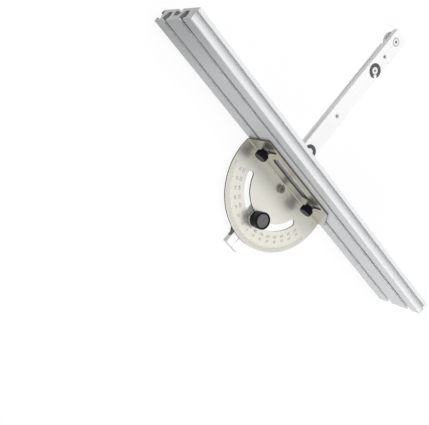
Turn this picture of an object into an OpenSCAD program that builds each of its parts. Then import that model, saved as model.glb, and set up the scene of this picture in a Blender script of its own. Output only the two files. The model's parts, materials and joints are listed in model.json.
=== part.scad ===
// Miter gauge: guide bar, bent protractor plate and slotted fence.
// The origin is the pivot axis at the top face of the bar, which is level with the saw table.
// +X runs along the fence, +Y along the bar to its far end, +Z up.

/* [Guide bar] */
// Width of the bar
bar_w = 19; // [18.6:0.1:21]
// Thickness of the bar
bar_t = 9.5; // [9:0.1:12]
// Length of the bar in front of the pivot
bar_near = 80; // [76:1:120]
// Length of the bar behind the pivot
bar_far = 228; // [216:1:320]
// Bevel on the long edges of the bar
bar_edge = 0.5; // [0.2:0.1:0.8]
// Width of the index line at the near end
index_w = 0.6; // [0.4:0.1:1]
// Depth of the index line
index_d = 0.4; // [0.2:0.1:0.6]

/* [Hold-down washers] */
// Diameter of the washers that run in the undercut of the table slot
hold_d = 23; // [21:0.5:24]
// Thickness of the washers
hold_t = 3; // [2:0.1:3.2]
// Distance of the far washer's screw from the far end of the bar
hold_in = 10.5; // [9:0.5:13]
// Distance of the near washer's screw from the lock stud
hold_near = 17; // [16.5:0.5:20]
// Gap between a washer and the step of its rebate
rebate_gap = 0.4; // [0.3:0.1:1]
// Thread diameter of the small screws
screw_d = 5; // [4:0.5:5]
// Head diameter of the countersunk screws
sink_d = 9.6; // [8.6:0.2:10]
// Depth of their heads below the top of the bar
head_sunk = 0.7; // [0.3:0.1:1]

/* [Split rings] */
// Outside diameter of the split ring
ring_d = 16.4; // [15:0.2:17]
// Radial wall of the ring at its top
ring_wall = 4; // [3.2:0.1:4.4]
// Height of the ring
ring_h = 4; // [3:0.1:4.6]
// How far the ring stands out of the side of the bar
ring_proud = 0.4; // [0.2:0.1:0.6]
// Width of the split
ring_gap = 4.4; // [3:0.2:5]
// Direction of the split, measured from +X
ring_turn = -40; // [-60:5:-20]
// Distance of the near ring from the pivot
ring_near_y = 53; // [48:1:70]
// Distance of the far ring from the pivot
ring_far_y = 174.5; // [140:0.5:178]
// Slope of the ring's bore, as lost radius over its height
ring_taper = 0.8; // [0.4:0.1:1]
// Gap on each side of the key that stands in the split
key_gap = 0.25; // [0.2:0.05:0.5]

/* [Set screws] */
// Distance of the middle set screw from the pivot
grub_near_y = 104; // [90:1:120]
// Distance of the far set screw from the pivot
grub_far_y = 194.5; // [193:0.5:196]
// Depth of the set screws below the top of the bar
grub_sunk = 0.8; // [0.5:0.1:1.5]
// Width across flats of their hex sockets
socket_af = 2.5; // [2:0.5:3]

/* [Protractor plate] */
// Thickness of the bent sheet
sheet_t = 2; // [1.5:0.1:2.5]
// Radius of the half-round plate
plate_r = 68; // [66:1:76]
// Radius of the arc slot's centre line
arc_r = 41.5; // [41:0.5:44]
// Width of the arc slot
arc_w = 7.5; // [6.8:0.1:8.5]
// Angle from the middle to the centre of the slot's round end
arc_half = 69.2; // [60:0.1:70]
// Inside radius of the bend
bend_r = 1.5; // [1:0.1:2]
// Distance of the flange's front face from the pivot
flange_y = 7.6; // [7:0.1:10]
// Height of the flange's top above the bar
flange_top = 37.4; // [37:0.2:44]
// Size of the cut-off corner on the blade side
flange_cut = 25; // [20:1:26]
// Radius of the flange's outer corners
flange_r = 1.5; // [0.5:0.5:3]

/* [Flange slots] */
// Place of the left clamp slot along the flange
clamp_left_x = -52.3; // [-56:0.1:-50]
// Place of the right clamp slot along the flange
clamp_right_x = 32.6; // [31:0.1:34]
// Width of the clamp slots
clamp_slot_w = 6.8; // [6.4:0.1:7.4]
// Lowest point of the clamp slots
clamp_slot_low = 12; // [10:0.5:14]
// Highest point of the clamp slots
clamp_slot_top = 34; // [32:0.5:34.5]
// Left end of the long slot
long_left = -40.3; // [-43:0.1:-36]
// Right end of the long slot
long_right = 22; // [18:0.5:24]
// Lowest point of the long slot
long_low = 15.7; // [14:0.1:18]
// Width of the long slot
long_w = 13; // [10:0.5:14]

/* [Fence] */
// Reach of the fence to the left of the pivot
fence_left = 220; // [160:1:320]
// Reach of the fence to the right of the pivot
fence_right = 210; // [150:1:320]
// Height of the fence
fence_h = 64; // [64:1:74]
// Depth of the fence, rear to work face
fence_d = 14; // [14:0.5:18]
// Clearance under the fence
fence_up = 0.3; // [0.3:0.1:2]
// Width of the T-slot mouths
mouth_w = 6.6; // [6.4:0.1:7.4]
// Width inside the T-slots
tee_w = 11; // [10.8:0.1:12]
// Thickness of the lips of the T-slots
lip_t = 2.2; // [1.8:0.1:2.6]
// Straight depth behind the lips
tee_straight = 3.8; // [3.7:0.1:4.2]
// Full depth of the rear T-slots
rear_depth = 10.4; // [9:0.1:10.8]
// Full depth of the work face T-slot
front_depth = 8.5; // [7.5:0.1:9]
// Width at the bottom of the T-slots
tee_floor_w = 6; // [4:0.5:8]
// Height of the lower rear T-slot
rear_low = 17; // [16.8:0.1:18]
// Height of the upper rear T-slot
rear_high = 47; // [46:0.5:48]
// Height of the work face T-slot
front_mid = 32; // [31:0.5:33]
// Depth of the valley between the crowned shoulder and the front lip
crown_drop = 3.5; // [2.5:0.1:3.6]
// Radius of the crowned shoulder
crown_r = 11; // [10:0.2:11.2]
// Radius where the shoulder turns down into the rear face
shoulder_r = 1.9; // [1:0.1:2]
// Thickness of the front lip above the valley
front_lip = 4; // [3:0.1:4.2]

/* [Groove under the fence] */
// Wall behind and in front of the groove
foot_wall = 2.2; // [1.8:0.1:2.4]
// Thickness of the lips beside the mouth
foot_lip_t = 1.6; // [1.4:0.1:2]
// Width of the mouth
foot_mouth_w = 5.6; // [5:0.2:6.4]
// Height of the groove at its rear wall
foot_high = 8; // [7:0.5:8.5]
// Height of the groove at its front wall
foot_low = 5; // [4:0.5:6]

/* [Fence clamps] */
// Diameter of the clamp bolts
bolt_d = 6; // [5.5:0.1:6]
// Width across flats of the bolt heads
head_af = 10; // [9:0.5:10.2]
// Thickness of the bolt heads
head_t = 3.4; // [3:0.1:3.6]
// Diameter of the washers
clamp_washer_d = 10; // [9:0.5:14]
// Thickness of the washers
washer_t = 1.2; // [0.8:0.1:1.6]
// Diameter of the clamp knobs
clamp_knob_d = 13.2; // [12:0.2:14]
// Length of their fluted part
clamp_knob_l = 6; // [5:0.1:7]
// Diameter of their smooth neck
clamp_neck_d = 8.8; // [8.8:0.2:10]
// Length of that neck
clamp_neck_l = 2.6; // [2:0.1:4]
// Diameter of their threaded inserts
clamp_insert_d = 7.2; // [7:0.1:7.4]
// Number of flutes round a clamp knob
flutes = 16; // [12:1:18]
// Depth of the flutes
flute_deep = 0.6; // [0.3:0.1:0.8]

/* [Head lock] */
// Diameter of the lock knob
knob_d = 18.2; // [16:0.2:18.6]
// Height of the lock knob's drum
knob_h = 9.2; // [8:0.2:12]
// Height of the narrow neck under the drum
neck_h = 2.6; // [1:0.1:3]
// Diameter of the neck
neck_d = 13; // [11.5:0.5:15]
// Diameter of the threaded insert in the knob
insert_d = 8.6; // [8:0.1:9]
// Diameter of the washer under the knob
lock_washer_d = 17.4; // [14:0.2:18]
// Diameter of the cap let into the top of the knob
cap_d = 14.8; // [12:0.2:15]
// Thickness of the cap
cap_t = 1.5; // [1:0.1:2]
// How far the cap lies below the rim
cap_low = 1; // [0.4:0.1:1.4]

/* [Pivot] */
// Diameter of the pivot screw's shoulder
shoulder_d = 6; // [5.5:0.1:7]
// Outside diameter of the pivot bush
bush_d = 9; // [8.8:0.1:10]
// Head diameter of the pivot screw
pivot_head_d = 8.6; // [8.4:0.2:10]
// Head height of the pivot screw
pivot_head_h = 2.6; // [2:0.1:3.2]
// Thickness of the spring washer under that head
spring_t = 0.5; // [0.3:0.1:0.8]

/* [Hidden] */
$fn = 64;

// Clearances
run = 0.04;      // radial clearance of a shaft that turns or a thread
seat = 0.05;     // gap between flat faces that slide on each other
free = 0.15;     // gap round the taper screws and in the ring pockets
cut = 1;         // how far a cutting shape runs past a face

// Levels
plate_z = seat;
plate_top = plate_z + sheet_t;
rebate_z = -bar_t + hold_t + seat;
hold_far_y = bar_far - hold_in;
hold_near_y = -arc_r - hold_near;
rebate_half = hold_d / 2 + rebate_gap;
ring_x = bar_w / 2 + ring_proud - ring_d / 2;
ring_bore_r = ring_d / 2 - ring_wall;
pocket_z = -ring_h - free;
fence_y = flange_y + sheet_t + seat;
clamp_z = fence_up + rear_low;
flange_half = sqrt(pow(plate_r, 2) - pow(flange_y, 2));
knob_z = plate_top + seat + washer_t;
drum_z = knob_z + neck_h;
clamp_front = flange_y - seat - washer_t;
clamp_bore_l = 0.75 * (clamp_neck_l + clamp_knob_l);

function arc_points(centre, r, from, to, steps = 12) =
    [for (i = [0 : steps])
        let (a = from + (to - from) * i / steps) centre + r * [cos(a), sin(a)]];

// Straight slot with round ends, its centre line from a to b
module slot_2d(a, b, w) {
    d = b - a;
    for (p = [a, b]) translate(p) circle(d = w);
    translate(a) rotate(atan2(d.y, d.x)) translate([0, -w / 2]) square([norm(d), w]);
}

// Hex socket that opens upwards at z = 0
module hex_socket(af, deep) {
    translate([0, 0, -deep]) cylinder(d = af / cos(30), h = deep + cut, $fn = 6);
}

// Guide bar
module bar_blank() {
    w = bar_w / 2;
    section = [[-w + bar_edge, 0], [w - bar_edge, 0], [w, -bar_edge], [w, -bar_t + bar_edge],
        [w - bar_edge, -bar_t], [-w + bar_edge, -bar_t], [-w, -bar_t + bar_edge], [-w, -bar_edge]];
    translate([0, bar_far, 0]) rotate([90, 0, 0]) linear_extrude(bar_near + bar_far) polygon(section);
}

// Round pocket, with a key left standing in the split of the ring so that the ring can't turn
module ring_pocket(y) {
    key_w = ring_gap - 2 * key_gap;
    translate([ring_x, y, pocket_z]) difference() {
        cylinder(d = ring_d + 2 * free, h = -pocket_z + cut);
        rotate(ring_turn) translate([ring_bore_r + free, -key_w / 2, -cut])
            cube([ring_d, key_w, -pocket_z + 3 * cut]);
    }
    translate([ring_x, y, -bar_t - cut]) cylinder(d = screw_d + 2 * run, h = bar_t + cut);
}

module guide_bar() {
    color([0.92, 0.92, 0.92]) difference() {
        bar_blank();
        translate([-bar_w, hold_far_y - rebate_half, -bar_t - cut])
            cube([2 * bar_w, hold_in + rebate_half + cut, rebate_z + bar_t + cut]);
        translate([-bar_w, -bar_near - cut, -bar_t - cut])
            cube([2 * bar_w, bar_near + hold_near_y + rebate_half + cut, rebate_z + bar_t + cut]);
        for (y = [hold_near_y, hold_far_y]) translate([0, y, 0]) countersink(run, cut);
        for (y = [ring_near_y, ring_far_y]) ring_pocket(y);
        for (y = [grub_near_y, grub_far_y])
            translate([0, y, -bar_t - cut]) cylinder(d = screw_d + 2 * run, h = bar_t + 2 * cut);
        translate([0, 0, -bar_t - cut]) cylinder(d = screw_d + 2 * run, h = bar_t + 2 * cut);
        translate([0, -arc_r, -bar_t - cut]) cylinder(d = bolt_d + 2 * run, h = bar_t + 2 * cut);
        translate([-index_w / 2, -bar_near - cut, -index_d])
            cube([index_w, bar_near + hold_near_y - sink_d / 2 - cut, index_d + cut]);
    }
}

// Shank and countersunk head, from below the bar up past the head by extra, gap wider all round
module countersink(gap, extra = 0) {
    sink_h = (sink_d - screw_d) / 2;
    top = head_sunk * (extra > 0 ? 1 : 0);
    translate([0, 0, -bar_t - extra]) cylinder(d = screw_d + 2 * gap, h = bar_t + extra - head_sunk - sink_h);
    translate([0, 0, -head_sunk - sink_h])
        cylinder(d1 = screw_d + 2 * gap, d2 = sink_d + 2 * gap + 2 * top, h = sink_h + top);
    if (extra > 0) cylinder(d = sink_d + 2 * gap + 2 * top, h = extra);
}

module hold_down_screw(y) {
    socket_deep = 2;
    translate([0, y, 0]) difference() {
        intersection() {
            countersink(0);
            translate([0, 0, -bar_t + seat]) cylinder(d = 2 * sink_d, h = bar_t);
        }
        translate([0, 0, -head_sunk]) hex_socket(socket_af + 0.5, socket_deep);
    }
}

module hold_down_washer(y) {
    translate([0, y, -bar_t]) difference() {
        cylinder(d = hold_d, h = hold_t);
        translate([0, 0, -cut]) cylinder(d = screw_d + 2 * run, h = hold_t + 2 * cut);
    }
}

module hold_down_washer_near() { color([0.3, 0.3, 0.3]) hold_down_washer(hold_near_y); }
module hold_down_washer_far() { color([0.3, 0.3, 0.3]) hold_down_washer(hold_far_y); }
module hold_down_screw_near() { color([0.75, 0.75, 0.76]) hold_down_screw(hold_near_y); }
module hold_down_screw_far() { color([0.75, 0.75, 0.76]) hold_down_screw(hold_far_y); }

// Split rings and the taper screws that spread them

module split_ring(y) {
    translate([ring_x, y, pocket_z]) difference() {
        cylinder(d = ring_d, h = ring_h);
        translate([0, 0, -cut])
            cylinder(r1 = ring_bore_r - ring_taper * (1 + cut / ring_h),
                r2 = ring_bore_r + ring_taper * cut / ring_h, h = ring_h + 2 * cut);
        rotate(ring_turn) translate([0, -ring_gap / 2, -cut]) cube([ring_d, ring_gap, ring_h + 2 * cut]);
    }
}

module taper_screw(y) {
    head_r = ring_bore_r - free;
    socket_deep = 2.4;
    translate([ring_x, y, 0]) difference() {
        union() {
            translate([0, 0, pocket_z + free])
                cylinder(r1 = head_r - ring_taper * (1 - free / ring_h), r2 = head_r, h = ring_h - free);
            translate([0, 0, -bar_t + seat]) cylinder(d = screw_d, h = bar_t + pocket_z + free);
        }
        translate([0, 0, -free]) hex_socket(socket_af, socket_deep);
    }
}

module split_ring_near() { color([0.17, 0.17, 0.18]) split_ring(ring_near_y); }
module split_ring_far() { color([0.17, 0.17, 0.18]) split_ring(ring_far_y); }
module taper_screw_near() { color([0.8, 0.8, 0.8]) taper_screw(ring_near_y); }
module taper_screw_far() { color([0.8, 0.8, 0.8]) taper_screw(ring_far_y); }

module set_screw(y) {
    socket_deep = 2.2;
    translate([0, y, -bar_t + grub_sunk]) difference() {
        cylinder(d = screw_d, h = bar_t - 2 * grub_sunk);
        translate([0, 0, bar_t - 2 * grub_sunk]) hex_socket(socket_af, socket_deep);
    }
}

module set_screw_near() { color([0.45, 0.45, 0.46]) set_screw(grub_near_y); }
module set_screw_far() { color([0.45, 0.45, 0.46]) set_screw(grub_far_y); }

// Pivot: the bush turns with the plate on the shoulder of the screw
pivot_head_z = plate_top + seat + spring_t + seat;

module pivot_screw() {
    socket_deep = 1.6;
    color([0.6, 0.6, 0.6]) difference() {
        union() {
            translate([0, 0, -bar_t + seat]) cylinder(d = screw_d, h = bar_t);
            cylinder(d = shoulder_d, h = pivot_head_z + seat);
            translate([0, 0, pivot_head_z]) cylinder(d = pivot_head_d, h = pivot_head_h);
        }
        translate([0, 0, pivot_head_z + pivot_head_h]) hex_socket(socket_af + 0.5, socket_deep);
    }
}

module pivot_bush() {
    color([0.78, 0.62, 0.3]) translate([0, 0, plate_z]) difference() {
        cylinder(d = bush_d - 2 * run, h = sheet_t);
        translate([0, 0, -cut]) cylinder(d = shoulder_d + 2 * run, h = sheet_t + 2 * cut);
    }
}

module spring_washer() {
    color([0.5, 0.5, 0.5]) translate([0, 0, plate_top + seat]) difference() {
        cylinder(d = bush_d + 2, h = spring_t);
        translate([0, 0, -cut]) cylinder(d = shoulder_d + 2 * free, h = spring_t + 2 * cut);
    }
}

// Protractor plate: half-round sheet, bend and flange in one piece
module plate_flat() {
    linear_extrude(sheet_t) difference() {
        intersection() {
            circle(r = plate_r, $fn = 180);
            translate([-plate_r, -plate_r]) square([2 * plate_r, plate_r + flange_y - bend_r]);
        }
        intersection() {
            difference() {
                circle(r = arc_r + arc_w / 2, $fn = 128);
                circle(r = arc_r - arc_w / 2, $fn = 128);
            }
            reach = 2 * plate_r;
            polygon([[0, 0], reach * [-sin(arc_half), -cos(arc_half)], [-reach, -reach],
                [reach, -reach], reach * [sin(arc_half), -cos(arc_half)]]);
        }
        for (s = [-1, 1]) translate(arc_r * [s * sin(arc_half), -cos(arc_half)]) circle(d = arc_w);
        circle(d = bush_d);
    }
}

module plate_bend() {
    outer = bend_r + sheet_t;
    translate([-flange_half, flange_y - bend_r, outer]) rotate([90, 0, 90])
        linear_extrude(2 * flange_half) intersection() {
            difference() {
                circle(r = outer);
                circle(r = bend_r);
            }
            translate([0, -outer]) square(outer);
        }
}

module flange_outline() {
    low = bend_r + sheet_t;
    top = flange_top - plate_z;
    r = flange_r;
    right = flange_half;
    k = r * tan(22.5);
    polygon(concat([[-right, low], [right, low]],
        arc_points([right - r, top - flange_cut - k], r, 0, 45, 4),
        arc_points([right - flange_cut - k, top - r], r, 45, 90, 4),
        arc_points([-right + r, top - r], r, 90, 180, 6)));
}

module flange() {
    r = clamp_slot_w / 2;
    translate([0, flange_y + sheet_t, 0]) rotate([90, 0, 0]) linear_extrude(sheet_t) difference() {
        flange_outline();
        for (x = [clamp_left_x, clamp_right_x])
            slot_2d([x, clamp_slot_low + r - plate_z], [x, clamp_slot_top - r - plate_z], clamp_slot_w);
        slot_2d([long_left + long_w / 2, long_low + long_w / 2 - plate_z],
            [long_right - long_w / 2, long_low + long_w / 2 - plate_z], long_w);
    }
}

module protractor_plate() {
    color([0.8, 0.78, 0.72]) translate([0, 0, plate_z]) {
        plate_flat();
        plate_bend();
        flange();
    }
}

// Head lock: stud in the bar, washer and knob above the arc slot
module lock_stud() {
    color([0.6, 0.6, 0.6]) translate([0, -arc_r, -bar_t + seat])
        cylinder(d = bolt_d, h = bar_t + drum_z + knob_h / 2 - cut);
}

module lock_washer() {
    color([0.7, 0.7, 0.7]) translate([0, -arc_r, plate_top + seat]) difference() {
        cylinder(d = lock_washer_d, h = washer_t);
        translate([0, 0, -cut]) cylinder(d = bolt_d + 2 * free, h = washer_t + 2 * cut);
    }
}

insert_top = neck_h + knob_h / 2;
cap_z = neck_h + knob_h - cap_low - cap_t;

module lock_knob() {
    edge = 0.6;
    color([0.07, 0.07, 0.08]) translate([0, -arc_r, knob_z]) difference() {
        union() {
            cylinder(d = neck_d, h = neck_h + edge);
            translate([0, 0, neck_h]) cylinder(d1 = knob_d - 2 * edge, d2 = knob_d, h = edge);
            translate([0, 0, neck_h + edge]) cylinder(d = knob_d, h = knob_h - 2 * edge, $fn = 96);
            translate([0, 0, neck_h + knob_h - edge])
                cylinder(d1 = knob_d, d2 = knob_d - 2 * edge, h = edge);
        }
        translate([0, 0, -cut]) cylinder(d = insert_d + 2 * run, h = insert_top + cut);
        translate([0, 0, cap_z]) cylinder(d = cap_d + 2 * run, h = cap_t + cap_low + cut);
    }
}

module lock_insert() {
    color([0.78, 0.62, 0.3]) translate([0, -arc_r, knob_z]) difference() {
        cylinder(d = insert_d, h = insert_top);
        translate([0, 0, -cut]) cylinder(d = bolt_d + 2 * run, h = insert_top + 2 * cut);
    }
}

module lock_cap() {
    edge = 0.4;
    color([0.35, 0.35, 0.36]) translate([0, -arc_r, knob_z + cap_z]) {
        cylinder(d = cap_d, h = cap_t - edge);
        translate([0, 0, cap_t - edge]) cylinder(d1 = cap_d, d2 = cap_d - 2 * edge, h = edge);
    }
}

// Fence: extruded section with u from the rear face and v from the bottom
module tee_slot(depth) {
    polygon([[-cut, -mouth_w / 2], [lip_t, -mouth_w / 2], [lip_t, -tee_w / 2],
        [lip_t + tee_straight, -tee_w / 2], [depth, -tee_floor_w / 2], [depth, tee_floor_w / 2],
        [lip_t + tee_straight, tee_w / 2], [lip_t, tee_w / 2], [lip_t, mouth_w / 2],
        [-cut, mouth_w / 2]]);
}

// Groove under the fence: a ceiling that slopes down from the rear, and a lip on either side
module bottom_groove() {
    middle = fence_d / 2;
    front = fence_d - foot_wall;
    mouth = [middle - foot_mouth_w / 2, middle + foot_mouth_w / 2];
    polygon([[mouth[0], -cut], [mouth[0], foot_lip_t], [foot_wall, foot_lip_t], [foot_wall, foot_high],
        [middle, foot_low], [front, foot_low], [front, foot_lip_t], [mouth[1], foot_lip_t],
        [mouth[1], -cut]]);
}

// Everything above the crowned shoulder and behind the front lip
module crown_cut() {
    valley = fence_d - front_lip;
    drop_a = acos(1 - crown_drop / crown_r);
    start_u = valley - crown_r * sin(drop_a);
    polygon(concat(arc_points([start_u, fence_h - crown_r], crown_r, 90, 90 - drop_a, 16),
        [[valley, fence_h + cut], [start_u, fence_h + cut]]));
}

// Everything outside the round between the shoulder and the rear face
module shoulder_cut() {
    r = shoulder_r;
    polygon(concat(arc_points([r, fence_h - r], r, 180, 90, 8), [[r, fence_h + cut],
        [-cut, fence_h + cut], [-cut, fence_h - r]]));
}

module fence_section() {
    difference() {
        square([fence_d, fence_h]);
        for (v = [rear_low, rear_high]) translate([0, v]) tee_slot(rear_depth);
        translate([fence_d, front_mid]) mirror([1, 0]) tee_slot(front_depth);
        bottom_groove();
        crown_cut();
        shoulder_cut();
    }
}

module fence() {
    color([0.72, 0.73, 0.75]) translate([-fence_left, fence_y, fence_up]) rotate([90, 0, 90])
        linear_extrude(fence_left + fence_right) fence_section();
}

// Fence clamps: a bolt in the lower rear T-slot, through the flange, into a knob
module clamp_bolt(x) {
    grip = 0.6;
    shank_end = clamp_front - grip * (clamp_neck_l + clamp_knob_l);
    head_y = fence_y + lip_t + seat;
    translate([x, head_y + head_t, clamp_z]) rotate([90, 0, 0]) {
        cylinder(d = head_af / cos(30), h = head_t, $fn = 6);
        cylinder(d = bolt_d, h = head_y + head_t - shank_end);
    }
}

module clamp_washer(x) {
    translate([x, flange_y - seat, clamp_z]) rotate([90, 0, 0]) difference() {
        cylinder(d = clamp_washer_d, h = washer_t);
        translate([0, 0, -cut]) cylinder(d = bolt_d + 2 * free, h = washer_t + 2 * cut);
    }
}

module clamp_knob(x) {
    nose = 0.8;
    flute_r = 0.9;
    translate([x, clamp_front, clamp_z]) rotate([90, 0, 0]) difference() {
        union() {
            cylinder(d = clamp_neck_d, h = clamp_neck_l + cut);
            translate([0, 0, clamp_neck_l]) cylinder(d = clamp_knob_d, h = clamp_knob_l - nose);
            translate([0, 0, clamp_neck_l + clamp_knob_l - nose])
                cylinder(d1 = clamp_knob_d, d2 = clamp_knob_d - 2 * nose, h = nose);
        }
        for (i = [0 : flutes - 1]) rotate(i * 360 / flutes)
            translate([clamp_knob_d / 2 + flute_r - flute_deep, 0, clamp_neck_l - cut])
                cylinder(r = flute_r, h = clamp_knob_l + 2 * cut, $fn = 24);
        translate([0, 0, -cut]) cylinder(d = clamp_insert_d + 2 * run, h = clamp_bore_l + cut);
    }
}

module clamp_insert(x) {
    translate([x, clamp_front, clamp_z]) rotate([90, 0, 0]) difference() {
        cylinder(d = clamp_insert_d, h = clamp_bore_l);
        translate([0, 0, -cut]) cylinder(d = bolt_d + 2 * run, h = clamp_bore_l + 2 * cut);
    }
}

module clamp_bolt_left() { color([0.6, 0.6, 0.62]) clamp_bolt(clamp_left_x); }
module clamp_bolt_right() { color([0.6, 0.6, 0.62]) clamp_bolt(clamp_right_x); }
module clamp_washer_left() { color([0.7, 0.7, 0.7]) clamp_washer(clamp_left_x); }
module clamp_washer_right() { color([0.7, 0.7, 0.7]) clamp_washer(clamp_right_x); }
module clamp_knob_left() { color([0.07, 0.07, 0.08]) clamp_knob(clamp_left_x); }
module clamp_knob_right() { color([0.07, 0.07, 0.08]) clamp_knob(clamp_right_x); }
module clamp_insert_left() { color([0.78, 0.62, 0.3]) clamp_insert(clamp_left_x); }
module clamp_insert_right() { color([0.78, 0.62, 0.3]) clamp_insert(clamp_right_x); }

guide_bar();
hold_down_washer_near();
hold_down_washer_far();
hold_down_screw_near();
hold_down_screw_far();
split_ring_near();
split_ring_far();
taper_screw_near();
taper_screw_far();
set_screw_near();
set_screw_far();
pivot_screw();
pivot_bush();
spring_washer();
protractor_plate();
lock_stud();
lock_washer();
lock_knob();
lock_insert();
lock_cap();
fence();
clamp_bolt_left();
clamp_bolt_right();
clamp_washer_left();
clamp_washer_right();
clamp_knob_left();
clamp_knob_right();
clamp_insert_left();
clamp_insert_right();
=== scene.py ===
# %% [markdown]
# # A miter gauge, dressed for its portrait
# A miter gauge is the tool that slides in the slot of a table saw and holds a board at a set angle. This
# lesson takes its finished construction as a fixed frame and gives each piece its surface: satin bar,
# brushed plate with a printed scale, anodised fence, glossy knobs. Every place and size below comes from
# that frame or from a named value in metres, so nothing has to be fitted by eye.

# %% Load the frame
import json
from math import cos, pi, radians, sin

import bpy
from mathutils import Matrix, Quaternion, Vector

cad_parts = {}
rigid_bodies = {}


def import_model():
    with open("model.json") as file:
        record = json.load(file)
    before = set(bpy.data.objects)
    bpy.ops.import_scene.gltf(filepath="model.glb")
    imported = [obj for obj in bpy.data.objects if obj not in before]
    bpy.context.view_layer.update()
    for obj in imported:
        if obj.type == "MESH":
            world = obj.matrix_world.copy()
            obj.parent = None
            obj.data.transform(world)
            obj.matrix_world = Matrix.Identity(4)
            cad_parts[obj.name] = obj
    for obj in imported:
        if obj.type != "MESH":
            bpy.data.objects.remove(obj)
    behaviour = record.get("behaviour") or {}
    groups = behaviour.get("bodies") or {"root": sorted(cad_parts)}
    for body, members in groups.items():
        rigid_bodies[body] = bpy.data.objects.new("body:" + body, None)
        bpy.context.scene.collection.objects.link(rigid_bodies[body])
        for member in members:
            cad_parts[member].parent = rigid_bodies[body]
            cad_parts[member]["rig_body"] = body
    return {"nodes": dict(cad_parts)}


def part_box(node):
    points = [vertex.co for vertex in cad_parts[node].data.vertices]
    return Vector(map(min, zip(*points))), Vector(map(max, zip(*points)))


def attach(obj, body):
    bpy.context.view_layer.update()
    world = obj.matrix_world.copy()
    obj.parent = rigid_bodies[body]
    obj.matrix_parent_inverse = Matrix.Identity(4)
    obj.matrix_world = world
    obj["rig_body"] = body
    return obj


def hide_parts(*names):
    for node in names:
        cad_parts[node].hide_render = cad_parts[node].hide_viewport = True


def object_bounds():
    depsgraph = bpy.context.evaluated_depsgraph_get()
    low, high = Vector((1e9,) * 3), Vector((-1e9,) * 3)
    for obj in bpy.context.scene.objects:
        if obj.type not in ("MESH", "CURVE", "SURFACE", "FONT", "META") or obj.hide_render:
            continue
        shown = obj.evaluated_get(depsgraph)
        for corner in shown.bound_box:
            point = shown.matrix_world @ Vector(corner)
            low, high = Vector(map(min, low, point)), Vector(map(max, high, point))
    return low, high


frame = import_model()
CAD_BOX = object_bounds()
NODES = frame["nodes"]
MM = 0.001

# %% [markdown]
# ## Camera
# The photograph looks steeply down on the gauge with the camera turned well past level, so that the fence
# runs down to the right. A camera could be placed by its three angles, but those are hard to read. It is
# easier to say where it aims, from which side and how high it looks, and how far it is rolled.

# %% Camera at the photograph's view
AIM = Vector((-42.1, -69.1, 0)) * MM
DISTANCE = 776.5 * MM
HEADING = radians(25.08)
LOOK_DOWN = radians(55.77)
ROLL = radians(108.27)
LENS = 65.8
SENSOR = 36

forward = Vector((cos(HEADING) * cos(LOOK_DOWN), sin(HEADING) * cos(LOOK_DOWN), -sin(LOOK_DOWN)))
level = forward.to_track_quat("-Z", "Y")
turned = level @ Quaternion((0, 0, 1), ROLL)
bpy.ops.object.camera_add(location=AIM - forward * DISTANCE, rotation=turned.to_euler())
camera = bpy.context.object
camera.name = "portrait_camera"
camera.data.lens = LENS
camera.data.sensor_width = SENSOR
camera.data.sensor_fit = "HORIZONTAL"
bpy.context.scene.camera = camera
print("camera at", [round(v, 4) for v in camera.location])

# %% [markdown]
# ## Shader maths
# Materials are easier to read as sums than as a web of boxes. This small class wraps one socket: adding or
# multiplying two of them makes the Math node, and node() makes any other kind, settings first and then
# the values or links of its sockets.

# %% A socket that can be added and multiplied
class Shade:
    """One socket of a material. A sum on it adds Math nodes, and node() adds any other node."""

    def __init__(self, socket):
        self.socket = socket
        self.tree = socket.id_data

    def node(self, kind, settings=None, values=None, output=0):
        made = self.tree.nodes.new(kind)
        for name, value in (settings or {}).items():
            setattr(made, name, value)
        for name, value in (values or {}).items():
            if isinstance(value, Shade):
                self.tree.links.new(value.socket, made.inputs[name])
            else:
                made.inputs[name].default_value = value
        return Shade(made.outputs[output])

    def maths(self, operation, *terms):
        return self.node("ShaderNodeMath", {"operation": operation}, dict(enumerate(terms)))

    def __add__(self, other):
        return self.maths("ADD", self, other)

    def __sub__(self, other):
        return self.maths("SUBTRACT", self, other)

    def __rsub__(self, other):
        return self.maths("SUBTRACT", other, self)

    def __mul__(self, other):
        return self.maths("MULTIPLY", self, other)

    def __pow__(self, other):
        return self.maths("POWER", self, other)

    def __gt__(self, other):
        return self.maths("GREATER_THAN", self, other)

    def __lt__(self, other):
        return self.maths("LESS_THAN", self, other)

    def __abs__(self):
        return self.maths("ABSOLUTE", self)

    __radd__ = __add__
    __rmul__ = __mul__

# %% [markdown]
# ## Floor and light
# The photograph is a shop picture on pure white. The floor is made white where the camera or a reflection
# sees it, by the Light Path node, and keeps a share of plain lit paint so that the gauge's own shadow
# stays on it. The object is lit by one large soft panel overhead, which whitens the faces that look up,
# a weaker one at the front right, a faint one behind that fills the work face, and a dim even sky. Metal
# could mirror these panels too, but then the plate and the bar turn pure white from above and from behind.
# So the panels are hidden from reflections, and metal mirrors only the white surround.

# %% White where it is seen
def seen(path):
    """One where a ray comes from the camera, a reflection or glass, and zero for plain light."""
    shown = path.node("ShaderNodeLightPath", output="Is Camera Ray")
    glossy = Shade(shown.socket.node.outputs["Is Glossy Ray"])
    through = Shade(shown.socket.node.outputs["Is Transmission Ray"])
    return path.maths("MINIMUM", shown + glossy + through, 1.0)

WHITE = (1, 1, 1, 1)
SKY_LIGHT = 0.12
world = bpy.data.worlds.new("white_studio")
world.use_nodes = True
bpy.context.scene.world = world
background = world.node_tree.nodes["Background"]
background.inputs["Color"].default_value = WHITE
strength = seen(Shade(background.outputs[0])) * (1 - SKY_LIGHT) + SKY_LIGHT
world.node_tree.links.new(strength.socket, background.inputs["Strength"])
print("sky light", SKY_LIGHT)

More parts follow.
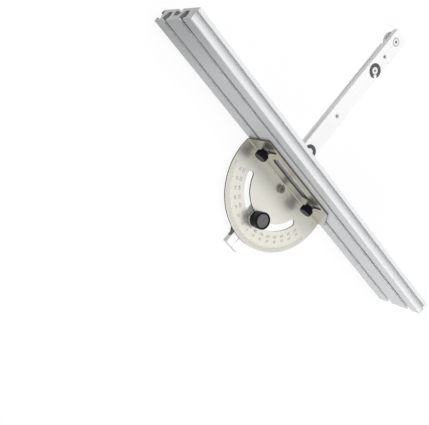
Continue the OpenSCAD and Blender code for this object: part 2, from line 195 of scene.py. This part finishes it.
# %% Floor under the bar
FLOOR_SIZE = 8.0
FLOOR_GLOW = 0.9
FLOOR_SHADOW = (0.1, 0.1, 0.1, 1)
FLOOR_PAINT = (0.25, 0.25, 0.25, 1)
FLOOR_GAP = 0.1 * MM
low_z = CAD_BOX[0][2] - FLOOR_GAP
bpy.ops.mesh.primitive_plane_add(size=FLOOR_SIZE, location=(0, 0, low_z))
floor = bpy.context.object
floor.name = "floor"
bpy.ops.object.transform_apply(location=True, rotation=True, scale=True)

paint = bpy.data.materials.new("floor_paint")
paint.use_nodes = True
shader = paint.node_tree.nodes["Principled BSDF"]
shader.inputs["Base Color"].default_value = FLOOR_PAINT
shader.inputs["Roughness"].default_value = 1.0
shader.inputs["Specular IOR Level"].default_value = 0.0
plain = Shade(shader.outputs[0])
glow = plain.node("ShaderNodeEmission", {}, {"Color": WHITE, "Strength": FLOOR_GLOW})
lit = plain.node("ShaderNodeBsdfDiffuse", {}, {"Color": FLOOR_SHADOW})
bright = plain.node("ShaderNodeAddShader", {}, {0: glow, 1: lit})
mixed = plain.node("ShaderNodeMixShader", {}, {0: seen(plain), 1: plain, 2: bright})
paint.node_tree.links.new(mixed.socket, paint.node_tree.nodes["Material Output"].inputs["Surface"])
floor.data.materials.append(paint)
print("floor at z =", round(low_z, 5))

# %% Three soft lamps
def soft_lamp(name, direction, distance, width, height, radiance):
    """A flat panel of even brightness that faces the gauge. Its power follows from its area."""
    away = Vector(direction).normalized()
    bpy.ops.object.light_add(type="AREA", location=away * distance,
        rotation=away.to_track_quat("Z", "Y").to_euler())
    lamp = bpy.context.object
    lamp.name = name
    lamp.data.shape = "RECTANGLE"
    lamp.data.size = width
    lamp.data.size_y = height
    lamp.data.energy = radiance * pi * width * height
    lamp.visible_glossy = False
    print(name, round(lamp.data.energy, 2), "W")

soft_lamp("overhead_panel", (-0.25, -0.02, 0.95), distance=1.5, width=1.3, height=1.3, radiance=3.7)
soft_lamp("front_right_panel", (0.75, -0.6, 0.3), distance=0.8, width=0.8, height=0.8, radiance=2.5)
soft_lamp("back_fill_panel", (-0.1, 0.9, 0.35), distance=1.4, width=1.0, height=0.7, radiance=1.4)

# %% [markdown]
# ## How a finish is built
# Every finish starts the same way: fixed numbers go straight on the shader's own sockets, and what changes
# over the surface grows from the place on the object in metres. Drawn, brushed and turned metal all show
# fine lines, which are plain noise squeezed across one axis and stretched along another.

# %% Start, grain, tint, masks, bump and end of a finish
def start_finish(name, constants):
    """A material with its fixed numbers set, and the place on the object as a Shade."""
    material = bpy.data.materials.new(name)
    material.use_nodes = True
    shader = material.node_tree.nodes["Principled BSDF"]
    for socket, value in constants.items():
        shader.inputs[socket].default_value = value
    return material, Shade(shader.outputs[0]).node("ShaderNodeTexCoord", output="Object")

def grain(place, per_metre, detail=2.0):
    """Noise with so many features in a metre along each axis."""
    moved = place.node("ShaderNodeMapping", {}, {"Vector": place, "Scale": per_metre})
    return place.node("ShaderNodeTexNoise", {}, {"Vector": moved, "Scale": 1.0, "Detail": detail})

def tint(mask, dark, light):
    """A colour between dark and light, which may be colours or Shades."""
    return mask.node("ShaderNodeMix", {"data_type": "RGBA"}, {0: mask, 6: dark, 7: light}, output=2)

BLACK = (0, 0, 0, 1)

def darkened(colour, mask):
    """A colour that loses as much of its light as mask says, from zero for none to one for all."""
    return tint(mask, colour, BLACK)

def strongest(*masks):
    """The largest of several masks at each place."""
    result = masks[0]
    for mask in masks[1:]:
        result = result.maths("MAXIMUM", result, mask)
    return result

def bumped(height, depth):
    """A normal from a height that runs from zero to one and is depth metres tall."""
    return height.node("ShaderNodeBump", {}, {"Height": height, "Distance": depth})

def along(place):
    """The x, y and z of a place, each on its own."""
    first = place.node("ShaderNodeSeparateXYZ", {}, {"Vector": place})
    return [Shade(out) for out in first.socket.node.outputs]

def facing(place):
    """How far the surface looks along x, y and z of its own object, each on its own, sign left out."""
    first = place.node("ShaderNodeSeparateXYZ", {}, {"Vector": Shade(place.socket.node.outputs["Normal"])})
    return [abs(Shade(out)) for out in first.socket.node.outputs]

def within(value, middle, reach):
    """One where value is less than reach away from middle, and zero elsewhere."""
    return reach > abs(value - middle)

def fade(value, start, end):
    """Zero up to start, one from end on, and smooth between them."""
    return value.node("ShaderNodeMapRange", {"interpolation_type": "SMOOTHSTEP"},
        {"Value": value, "From Min": start, "From Max": end})

def end_finish(material, sockets):
    """Links what varies over the surface to the shader and hands the material back."""
    shader = material.node_tree.nodes["Principled BSDF"]
    for name, value in sockets.items():
        material.node_tree.links.new(value.socket, shader.inputs[name])
    print("finish:", material.name)
    return material

def grey(value, warm=0.0):
    """A linear grey, a little warmer or cooler."""
    return (value * (1 + warm), value, value * (1 - warm), 1)

# %% [markdown]
# ## Drawn bar
# The bar is drawn along its length, so its die lines run along Y. One even grey would do for a new bar, but
# this one has worked: it is scratched along the sides that run in the slot. It also carries painted shade:
# under the plate, on its sides by the near washer, and on its near end. Each of these is a mask made from the
# place in metres, and where they overlap the strongest counts.

# %% Satin bar
SATIN = 0.4
SPECK = (2600, 2600, 2600)
SIDEWAYS = 0.7

BAR_GREY = 0.97
BAR_LINES = (700, 6, 700)
TOP_EDGE = -0.3 * MM
# Painted shade under the plate, by the near washer and at the near end: where each lies, and how much light
# it leaves
UNDER_PLATE_SHADE_IN, UNDER_PLATE_SHADE_OUT, UNDER_PLATE_SHADE_TONE = 59 * MM, 61 * MM, 0.4
UNDER_PLATE_SHADE_LOW, UNDER_PLATE_SHADE_HIGH = -9 * MM, -5 * MM
WASHER_SHADE_FROM, WASHER_SHADE_RISE, WASHER_SHADE_FALL, WASHER_SHADE_TO, WASHER_SHADE_TONE = -74 * MM, -71 * MM, -58 * MM, -50 * MM, 0.15
NEAR_END, NEAR_END_SHADE_TONE = -60 * MM, 0.85
SCRATCHES, SCRATCH_FROM, SCRATCH_FULL, SCRATCH_TONE = (1, 9, 420), 0.48, 0.7, 0.7

def drawn_bar():
    """Bright drawn metal, scratched where the slot rubs, with painted shade under the plate, by the near
    washer and at the near end.
    """
    material, place = start_finish("bar_aluminium", {"Metallic": 0.3})
    lines = grain(place, BAR_LINES)
    speck = grain(place, SPECK, 1.0)
    x, y, z = along(place)
    from_pivot = (x * x + y * y) ** 0.5
    # Painted shade of the plate on the bar under it, fading out towards the bottom
    under_plate_shade = fade(from_pivot, UNDER_PLATE_SHADE_OUT, UNDER_PLATE_SHADE_IN) * (y < 0) * fade(z, UNDER_PLATE_SHADE_LOW, UNDER_PLATE_SHADE_HIGH)
    below = z < TOP_EDGE
    # Painted shade on the sides and bottom by the near washer, just inside the plate's rim
    washer_shade = below * fade(y, WASHER_SHADE_FROM, WASHER_SHADE_RISE) * fade(y, WASHER_SHADE_TO, WASHER_SHADE_FALL)
    # Painted shade on the sides and bottom of the near end
    near = below * (y < NEAR_END)
    streaks = grain(place, SCRATCHES, 3.0)
    scratched = (facing(place)[0] > SIDEWAYS) * fade(streaks, SCRATCH_FROM, SCRATCH_FULL)
    # The painted shade and the scratches darken the colour, the strongest of them at each place
    shade_and_wear = strongest(under_plate_shade * (1 - UNDER_PLATE_SHADE_TONE), washer_shade * (1 - WASHER_SHADE_TONE), near * (1 - NEAR_END_SHADE_TONE),
        scratched * (1 - SCRATCH_TONE))
    plain = tint(lines * 0.7 + speck * 0.3, grey(BAR_GREY * 0.94), grey(BAR_GREY * 1.05))
    return end_finish(material, {
        "Base Color": darkened(plain, shade_and_wear),
        "Roughness": lines * 0.08 + speck * 0.06 + scratched * 0.1 + (SATIN - 0.07),
        "Normal": bumped(lines + speck * 0.4, 0.004 * MM)})

# %% [markdown]
# ## Anodised fence
# The fence is extruded along its length, so its lines run along X, and anodising leaves it satin. It was sawn
# to length, which leaves coarser marks across its two ends, found here by how far they lie from the middle.
# The channels shade themselves. On top of that, three marks of painted shade darken what the lamps leave
# lighter: the channels at the left end, the rear face near the left end, and the slope of the crown behind
# the front lip.

# %% Satin fence with sawn ends
FENCE_GREY = 0.8
FENCE_LINES = (2, 900, 900)
FENCE_BANDS = (0.6, 140, 140)
SAW_MARKS = (200, 90, 1500)
SAWN = 0.02 * MM
# Middle height, half height, first depth and last depth of each channel, in mm from the rear foot
CHANNELS = ((17, 5.6, 2.3, 10.6), (47, 5.6, 2.3, 10.6), (32, 5.6, 5.3, 11.7), (5.2, 3.8, 2.1, 11.9))
# Painted shade in the channels and on the rear face near the left end, and on the crown's slope: where each
# lies, and how much light it leaves
CHANNEL_SHADE_REACH, CHANNEL_SHADE_FULL, CHANNEL_SHADE_TONE = 22 * MM, 2 * MM, 0.35
LEFT_END_SHADE_REACH, LEFT_END_SHADE_FULL, LEFT_END_SHADE_TONE = 75 * MM, 5 * MM, 0.73
REAR_REACH, REAR_FULL = 1.5 * MM, 0.2 * MM
CROWN_HEIGHT, SLOPE_SHADE_TONE = 5 * MM, 0.8
SLOPE_FROM, SLOPE_FULL, SLOPE_END = 1.5 * MM, 8 * MM, 10.05 * MM

def anodised_fence():
    """Satin extrusion with sawn ends, and painted shade in the channels and on the rear face at the left end
    and on the slope of its crown.
    """
    material, place = start_finish("fence_aluminium", {"Metallic": 0.1})
    low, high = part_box("fence")
    middle = (low.x + high.x) / 2
    x, y, z = along(place)
    sawn = abs(x - middle) > (high.x - low.x) / 2 - SAWN

    inside = sum(within(z, low.z + mid * MM, half * MM)
        * within(y, low.y + (first + last) / 2 * MM, (last - first) / 2 * MM)
        for mid, half, first, last in CHANNELS) * (1 - sawn)
    # Painted shade in the channels, fading out from the left end
    shaded_channels = inside * fade(x, low.x + CHANNEL_SHADE_REACH, low.x + CHANNEL_SHADE_FULL)
    rear = fade(y, low.y + REAR_REACH, low.y + REAR_FULL)
    # Painted shade on the rear face near the left end
    left_end_shade = fade(x, low.x + LEFT_END_SHADE_REACH, low.x + LEFT_END_SHADE_FULL) * rear * (1 - sawn)
    crown = z > high.z - CROWN_HEIGHT
    # Painted shade on the slope of the crown behind the front lip
    slope = fade(y, low.y + SLOPE_FROM, low.y + SLOPE_FULL) * (y < low.y + SLOPE_END) * crown
    shade_and_wear = shaded_channels * (1 - CHANNEL_SHADE_TONE) + slope * (1 - SLOPE_SHADE_TONE) + left_end_shade * (1 - LEFT_END_SHADE_TONE)

    lines = grain(place, FENCE_LINES)
    marks = grain(place, SAW_MARKS)
    speck = grain(place, SPECK, 1.0)
    skin = lines * 0.5 + grain(place, FENCE_BANDS, 1.0) * 0.3 + speck * 0.2
    drawn = tint(skin, grey(FENCE_GREY * 0.93, -0.01), grey(FENCE_GREY * 1.06, -0.015))
    cut = tint(marks, grey(FENCE_GREY * 1.02), grey(FENCE_GREY * 1.24))
    return end_finish(material, {
        "Base Color": darkened(tint(sawn, drawn, cut), shade_and_wear),
        "Roughness": lines * 0.1 + speck * 0.06 + (SATIN - 0.08),
        "Normal": bumped(skin * (1 - sawn) + marks * sawn * 2, 0.005 * MM)})

# %% [markdown]
# ## Stainless sheet
# The plate is brushed along the fence before it is bent, so the brush lines run along X on the flat and on
# the flange alike. The steel has a warm cast in the photograph. Brushing alone would look too even, so a
# slow noise shifts its tint and its gloss a little, as handling does. The flange past the bend carries
# painted shade, darker than the flat, and the bend itself is rougher. The metal is not quite pure, because a
# satin sheet also scatters a part of the light. Its cut edges are darker and duller than its faces: partly
# the oxide of the cut, partly painted shade of the gaps along them. They could be painted face by face, but
# the way a surface
# looks tells them apart: on the flat an edge looks sideways, and on the flange it doesn't look along Y.

# %% Brushed plate
PLATE_LIGHT = (0.87, 0.857, 0.775, 1)
PLATE_DARK = (0.77, 0.757, 0.68, 1)
# Cut edges: the dark oxide of the cut, which also paints the shade of the gaps along them
EDGE_OXIDE_AND_SHADE = (0.2, 0.185, 0.16, 1)
STROKES = (14, 1600, 1600)
HANDLING = (22, 22, 22)
HALFWAY = 0.5
BEND_END = 4.2 * MM
BEND_GONE = 6.2 * MM
# The flange past the bend gets painted shade
FLANGE_FROM, FLANGE_FULL, FLANGE_SHADE_TONE = 5.4 * MM, 6.7 * MM, 0.62

def brushed_plate():
    """Brushed sheet with painted shade on its flange, and dark cut edges that are partly oxide and partly
    painted shade.
    """
    material, place = start_finish("plate_steel", {"Metallic": 0.85})
    strokes = grain(place, STROKES, 3.0)
    slow = grain(place, HANDLING, 1.0)
    x, y, z = along(place)
    look_x, look_y, look_z = facing(place)
    # Cut edges get the oxide colour, with painted shade of the gaps along them
    flat_edge = (z < BEND_END) * (y < BEND_END) * (look_z < HALFWAY)
    flange_edge = (z > BEND_END) * (look_y < HALFWAY)
    cut = place.maths("MINIMUM", flat_edge + flange_edge + (look_x > SIDEWAYS), 1.0)
    # Painted shade on the flange past the bend
    flange = fade(y, FLANGE_FROM, FLANGE_FULL)
    bend = flange * fade(z, BEND_GONE, BEND_END)
    brushed = tint(strokes * 0.6 + slow * 0.4, PLATE_DARK, PLATE_LIGHT)
    return end_finish(material, {
        "Base Color": tint(cut, darkened(brushed, flange * (1 - FLANGE_SHADE_TONE)), EDGE_OXIDE_AND_SHADE),
        "Roughness": strokes * 0.12 + slow * 0.08 + cut * 0.15 + bend * 0.1 + 0.22,
        "Normal": bumped(strokes, 0.003 * MM)})

# %% [markdown]
# ## Screws, washers and bushes
# Turned and plated hardware is smoother than the bar. One function makes all its metals, because they differ
# only in colour, gloss and how coarse their turning is. Walls of sockets and sides of heads carry painted
# shade, so they are darker than the faces on top, and the hold-down screws have a rim of painted shade in
# their countersinks. The two hold-down washers could share one steel, but the near one lies in the shade of
# the plate, painted as a dark steel, so each has a finish of its own.

# %% Small metals
# Width of the rim of painted shade in the countersinks of the hold-down screws, and how much light it leaves
RIM = 0.8 * MM
RIM_SHADE_TONE = 0.4
UPWARD = 0.6
TURNED_TONE = 0.8

def small_metal(name, colour, roughness, coarse, side=0.4, rimmed=()):
    """side is how much light the painted shade leaves on faces that look sideways, and rimmed names nodes
    with a rim of painted shade.
    """
    material, place = start_finish(name, {"Metallic": 1.0})
    turned = grain(place, (coarse, coarse, coarse * 3))
    darker = tuple(c * TURNED_TONE for c in colour[:3]) + (1,)
    # Painted shade on faces that look sideways, such as socket walls and the sides of heads, and on the
    # countersink rims
    recess_shade = (facing(place)[2] < UPWARD) * (1 - side)
    x, y, _ = along(place)
    for low, high in map(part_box, rimmed):
        away = ((x - (low.x + high.x) / 2) ** 2 + (y - (low.y + high.y) / 2) ** 2) ** 0.5
        recess_shade = strongest(recess_shade, within(away, (high.x - low.x) / 2, RIM) * (1 - RIM_SHADE_TONE))
    return end_finish(material, {
        "Base Color": darkened(tint(turned, darker, colour), recess_shade),
        "Roughness": turned * 0.15 + (roughness - 0.07),
        "Normal": bumped(turned, 0.003 * MM)})

# %% [markdown]
# ## Black mouldings
# The knobs are glossy, the cap in the lock knob is a satin grey and the split rings are charcoal nylon. All
# are dark, so much of what is seen of them is reflection: a fine orange-peel bump breaks it up on the knobs,
# and the rings scatter it.

# %% Gloss knobs with a satin cap, charcoal rings
LIGHTER = 1.8

def moulding(name, colour, roughness, shine, peel, depth):
    """peel is how many bumps there are in a metre along x, y and z."""
    material, place = start_finish(name, {"Metallic": 0.0, "Specular IOR Level": shine})
    skin = grain(place, peel)
    lighter = tuple(c * LIGHTER for c in colour[:3]) + (1,)
    return end_finish(material, {
        "Base Color": tint(skin, colour, lighter),
        "Roughness": skin * 0.12 + (roughness - 0.06),
        "Normal": bumped(skin, depth)})

# %% [markdown]
# ## Printed marks
# The scale is dark ink, worn thin in places so that the steel shows through a little.

# %% Ink
INK_FULL = (0.24, 0.235, 0.21, 1)
INK_THIN = (0.48, 0.47, 0.42, 1)

def marking_ink():
    """Matt dark ink with thinner spots."""
    material, place = start_finish("marking_ink", {"Metallic": 0.0, "Roughness": 0.55})
    shade_and_wear = grain(place, (900, 900, 900))
    return end_finish(material, {"Base Color": tint(shade_and_wear, INK_FULL, INK_THIN)})

# %% All finishes by the slot that they fill
FINISHES = {
    "bar_aluminium": drawn_bar(),
    "fence_aluminium": anodised_fence(),
    "plate_steel": brushed_plate(),
    "plain_steel": small_metal("plain_steel", (0.8, 0.8, 0.81, 1), roughness=0.34, coarse=900, side=0.85),
    "dark_steel": small_metal("dark_steel", (0.36, 0.345, 0.29, 1), roughness=0.4, coarse=900, side=0.8),
    "bright_steel": small_metal("bright_steel", (0.93, 0.93, 0.94, 1), roughness=0.25, coarse=1200,
        side=0.5, rimmed=("hold_down_screw_near", "hold_down_screw_far")),
    "bronze": small_metal("bronze", (0.62, 0.42, 0.17, 1), roughness=0.32, coarse=900),
    "ring_black": moulding("ring_black", (0.066, 0.069, 0.068, 1), roughness=0.48, shine=0.3,
        peel=(1500, 1500, 1500), depth=0.004 * MM),
    "knob_black": moulding("knob_black", (0.004, 0.004, 0.005, 1), roughness=0.28, shine=0.12,
        peel=(700, 700, 700), depth=0.003 * MM),
    "cap_grey": moulding("cap_grey", (0.09, 0.09, 0.094, 1), roughness=0.42, shine=0.3,
        peel=(1100, 160, 1100), depth=0.02 * MM),
}
INK = marking_ink()
OWN_FINISH = {
    # The near washer's dark steel is painted shade, from the plate above it
    "hold_down_washer_near": small_metal("shaded_washer_steel", (0.1, 0.097, 0.085, 1), roughness=0.42,
        coarse=700, side=0.9),
    "hold_down_washer_far": small_metal("washer_steel", (0.58, 0.58, 0.57, 1), roughness=0.42,
        coarse=700, side=0.9),
}

# %% [markdown]
# ## Which piece has which finish
# The frame's own pieces are listed by finish. Each keeps its mesh as it is; the ones that show are copied in
# the next step, and the copy gets the same finish.

# %% Finish of every piece in the frame
WEARS = {
    "bar_aluminium": ["guide_bar"],
    "fence_aluminium": ["fence"],
    "plate_steel": ["protractor_plate"],
    "plain_steel": ["set_screw_near", "set_screw_far", "lock_stud", "clamp_bolt_left", "clamp_bolt_right",
        "spring_washer"],
    "dark_steel": ["hold_down_washer_near", "hold_down_washer_far", "pivot_screw", "clamp_washer_left",
        "clamp_washer_right"],
    "bright_steel": ["hold_down_screw_near", "hold_down_screw_far", "taper_screw_near",
        "taper_screw_far", "lock_washer"],
    "bronze": ["pivot_bush", "lock_insert", "clamp_insert_left", "clamp_insert_right"],
    "ring_black": ["split_ring_near", "split_ring_far"],
    "knob_black": ["lock_knob", "clamp_knob_left", "clamp_knob_right"],
    "cap_grey": ["lock_cap"],
}
SLOT_OF = {node: slot for slot, nodes in WEARS.items() for node in nodes}
for node, slot in SLOT_OF.items():
    NODES[node].data.materials.clear()
    NODES[node].data.materials.append(OWN_FINISH.get(node, FINISHES[slot]))
print("finished in the frame:", len(SLOT_OF), "of", len(NODES))

# %% [markdown]
# ## Eased edges
# No real edge is perfectly sharp: a deburred or anodised edge catches a thin line of light, and without it
# metal looks like paper. The frame's meshes are loose triangles, so each piece is copied, its triangles are
# joined, its flat faces are made whole again, and a narrow Bevel modifier rounds what is left sharp.

# %% Join a copy's triangles and round its edges
WELD = 0.002 * MM
FLAT = radians(0.4)
SHARP = radians(32)
EASE_STEPS = 2

def pick(piece):
    """Makes one object the only one selected, and the active one."""
    bpy.ops.object.select_all(action="DESELECT")
    piece.select_set(True)
    bpy.context.view_layer.objects.active = piece

def eased_copy(node, width):
    """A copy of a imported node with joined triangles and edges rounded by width, which stands for it."""
    piece = bpy.data.objects.new(node + "_eased", NODES[node].data.copy())
    bpy.context.scene.collection.objects.link(piece)
    pick(piece)
    bpy.ops.mesh.customdata_custom_splitnormals_clear()
    bpy.ops.object.mode_set(mode="EDIT")
    bpy.ops.mesh.select_all(action="SELECT")
    bpy.ops.mesh.remove_doubles(threshold=WELD)
    bpy.ops.mesh.dissolve_limited(angle_limit=FLAT)
    bpy.ops.object.mode_set(mode="OBJECT")
    edge = piece.modifiers.new("eased", "BEVEL")
    edge.width = width
    edge.segments = EASE_STEPS
    edge.angle_limit = SHARP
    bpy.ops.object.modifier_apply(modifier="eased")
    bpy.ops.object.shade_smooth_by_angle(angle=SHARP)
    flat = piece.modifiers.new("flat", "WEIGHTED_NORMAL")
    flat.keep_sharp = True
    bpy.ops.object.modifier_apply(modifier="flat")
    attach(piece, NODES[node]["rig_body"])
    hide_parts(node)
    print(piece.name, len(piece.data.polygons), "faces")

# %% Eased copies of every piece, each edge as wide as the real one
EASE = {
    "guide_bar": 0.12, "fence": 0.25, "protractor_plate": 0.2, "lock_knob": 0.25,
    "clamp_knob_left": 0.12, "clamp_knob_right": 0.12, "split_ring_near": 0.2, "split_ring_far": 0.2,
    "hold_down_washer_near": 0.2, "hold_down_washer_far": 0.2, "pivot_screw": 0.15,
}
SMALL_EASE = 0.06
for node in SLOT_OF:
    eased_copy(node, EASE.get(node, SMALL_EASE) * MM)

# %% [markdown]
# ## Scale
# The half-round plate carries a degree scale: a band of one-degree lines along its rim, and two rows of
# numbers inside it. The outer row counts from zero at the middle to seventy on each side, and the inner row
# counts the other angle of the cut. One line is modelled, from a flat plane whose corners are rounded and
# which is then given its thickness, and the rest are copies turned about the pivot.

# %% One line, copied round the rim
PLATE_TOP = 2.05 * MM
INK_T = 0.03 * MM
RIM_IN = 62.6 * MM
RIM_OUT = 67.3 * MM
LINE_W = 0.32 * MM
SCALE_END = 75
LONGER = {10: 1.5 * MM, 5: 0.8 * MM}
CORNER = 0.3

def mark_line(name, inner, outer, width):
    """A thin raised bar along -Y from the pivot, with rounded corners."""
    bpy.ops.mesh.primitive_plane_add(size=1, location=(0, -(inner + outer) / 2, PLATE_TOP))
    line = bpy.context.object
    line.name = name
    line.scale = (width, outer - inner, 1)
    bpy.ops.object.transform_apply(location=True, rotation=True, scale=True)
    bpy.ops.object.mode_set(mode="EDIT")
    bpy.ops.mesh.bevel(offset=width * CORNER, segments=2, affect="VERTICES")
    bpy.ops.mesh.select_all(action="SELECT")
    bpy.ops.mesh.extrude_region_move(TRANSFORM_OT_translate={"value": (0, 0, INK_T)})
    bpy.ops.mesh.select_all(action="SELECT")
    bpy.ops.mesh.normals_make_consistent(inside=False)
    bpy.ops.object.mode_set(mode="OBJECT")
    return line

def turned_about_pivot(piece, degrees):
    """Turns a piece about the pivot axis and writes its place into its mesh."""
    pick(piece)
    piece.rotation_euler = (0, 0, radians(degrees))
    bpy.ops.object.transform_apply(location=True, rotation=True, scale=True)
    return piece

def join_in_ink(pieces, name):
    """Joins flat marks into one piece with the ink as its only material."""
    pick(pieces[0])
    for piece in pieces:
        piece.select_set(True)
    bpy.ops.object.join()
    joined = bpy.context.object
    joined.name = name
    joined.data.materials.clear()
    joined.data.materials.append(INK)
    print(name, len(joined.data.polygons), "faces")
    return joined

bpy.ops.object.select_all(action="DESELECT")
lines = []
for degree in range(-SCALE_END, SCALE_END + 1):
    reach = next((more for step, more in LONGER.items() if degree % step == 0), 0)
    line = mark_line(f"line_{degree}", RIM_IN - reach, RIM_OUT, LINE_W)
    lines.append(turned_about_pivot(line, degree))
scale_lines = join_in_ink(lines, "scale_lines")
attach(scale_lines, "head")

# %% [markdown]
# ## Numbers on the scale
# Text could be left live, but a mesh exports everywhere, so each number is written flat at the origin, made
# a mesh, carried out to its row and turned to its angle, with its foot to the rim for the user in front.

# %% Two rows of numbers
ROWS = {
    "outer": (56.4 * MM, 3.9 * MM, abs),
    "inner": (51.4 * MM, 4.6 * MM, lambda angle: 90 - abs(angle)),
}
NUMBER_END = 70
NUMBER_STEP = 10
CURVE_STEPS = 3
BOLDER = 0.008

def number_mesh(text, size, radius, degrees):
    """One number as a thin mesh at its place on the plate."""
    bpy.ops.object.text_add(location=(0, 0, 0))
    label = bpy.context.object
    label.data.body = text
    label.data.size = size
    label.data.align_x = "CENTER"
    label.data.align_y = "CENTER"
    label.data.resolution_u = CURVE_STEPS
    label.data.extrude = INK_T
    label.data.offset = size * BOLDER
    pick(label)
    bpy.ops.object.convert(target="MESH")
    label = bpy.context.object
    label.location = (0, -radius, PLATE_TOP)
    bpy.ops.object.transform_apply(location=True, rotation=True, scale=True)
    return turned_about_pivot(label, degrees)

for row, (radius, size, value_at) in ROWS.items():
    numbers = [number_mesh(str(value_at(angle)), size, radius, angle)
        for angle in range(-NUMBER_END, NUMBER_END + 1, NUMBER_STEP)]
    numbers = join_in_ink(numbers, f"scale_numbers_{row}")
    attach(numbers, "head")

# %% [markdown]
# ## View
# Standard view keeps every colour as it is written.

# %% Finish
bpy.context.scene.view_settings.view_transform = "Standard"
